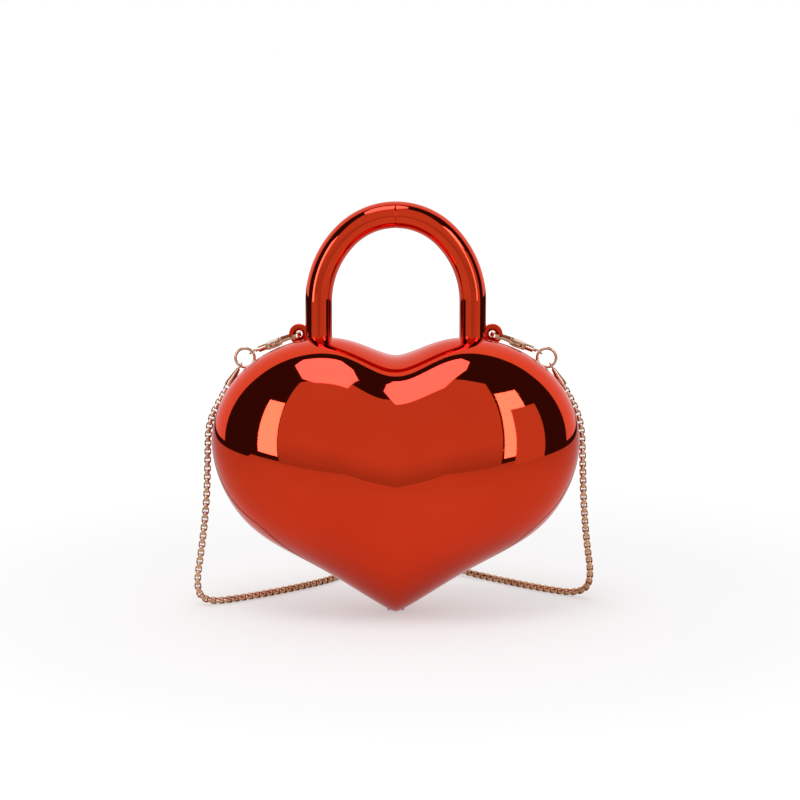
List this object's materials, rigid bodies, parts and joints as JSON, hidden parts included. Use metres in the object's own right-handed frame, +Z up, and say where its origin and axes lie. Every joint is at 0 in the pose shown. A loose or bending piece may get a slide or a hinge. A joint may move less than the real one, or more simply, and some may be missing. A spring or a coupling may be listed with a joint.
{
  "type": "heart shaped purse",
  "caption": "Hard-shell heart shaped purse with an arched tube handle, a front half that opens forward on a hinge at the tip, and a clip-on chain strap.",
  "frame": {"origin": "underside of the handle's top, where a hand or a hook carries the purse", "axes": "+Z up along the handle's middle, +X to the right seen from the front, the front faces -Y"},
  "size_m": [0.212, 0.1854, 0.2145],
  "materials": {
    "red_shell": "mirror-like red metallised plastic",
    "red_handle": "mirror-like red metallised plastic",
    "joint_plug": "as moulded",
    "gold_hardware": "polished light gold plating",
    "gold_chain": "polished light gold",
    "steel": "plain",
    "lining": "short dark red flock",
    "tie": "soft band"
  },
  "bodies": {
    "case": {"back_shell": "red_shell", "back_lining": "lining", "back_magnet": "steel", "hinge_pin": "steel", "handle_left_half": "red_handle", "handle_right_half": "red_handle", "handle_joint_plug": "joint_plug", "handle_screws": "steel", "lug_screws": "steel", "left_lug": "red_handle", "right_lug": "red_handle", "left_clasp_hook": "gold_hardware", "left_clasp_rivet": "gold_hardware", "left_swivel_eye": "gold_hardware", "left_ring": "gold_hardware", "left_end_cap": "gold_hardware", "right_clasp_hook": "gold_hardware", "right_clasp_rivet": "gold_hardware", "right_swivel_eye": "gold_hardware", "right_ring": "gold_hardware", "right_end_cap": "gold_hardware", "chain_left_fall": "gold_chain", "chain_coil": "gold_chain", "chain_right_fall": "gold_chain", "chain_tie": "tie"},
    "front_cover": {"front_shell": "red_shell", "front_lining": "lining", "front_magnet": "steel"},
    "left_lever": {"left_clasp_lever": "gold_hardware"},
    "right_lever": {"right_clasp_lever": "gold_hardware"}
  },
  "joints": [
    {"name": "cover_hinge", "type": "hinge", "parent": "case", "child": "front_cover", "pos_m": [0, -0.0076, -0.19895], "axis": [1, 0, 0], "range_deg": [0, 50]},
    {"name": "left_lever_pivot", "type": "hinge", "parent": "case", "child": "left_lever", "pos_m": [-0.06349, -0.0022, -0.06042], "axis": [-0.3551, 0, 0.9348], "range_deg": [0, 14], "stiffness_Nm_per_rad": 0.02, "springref_deg": -17.19},
    {"name": "right_lever_pivot", "type": "hinge", "parent": "case", "child": "right_lever", "pos_m": [0.06349, -0.0022, -0.06042], "axis": [-0.3551, 0, -0.9348], "range_deg": [0, 14], "stiffness_Nm_per_rad": 0.02, "springref_deg": -17.19}
  ]
}
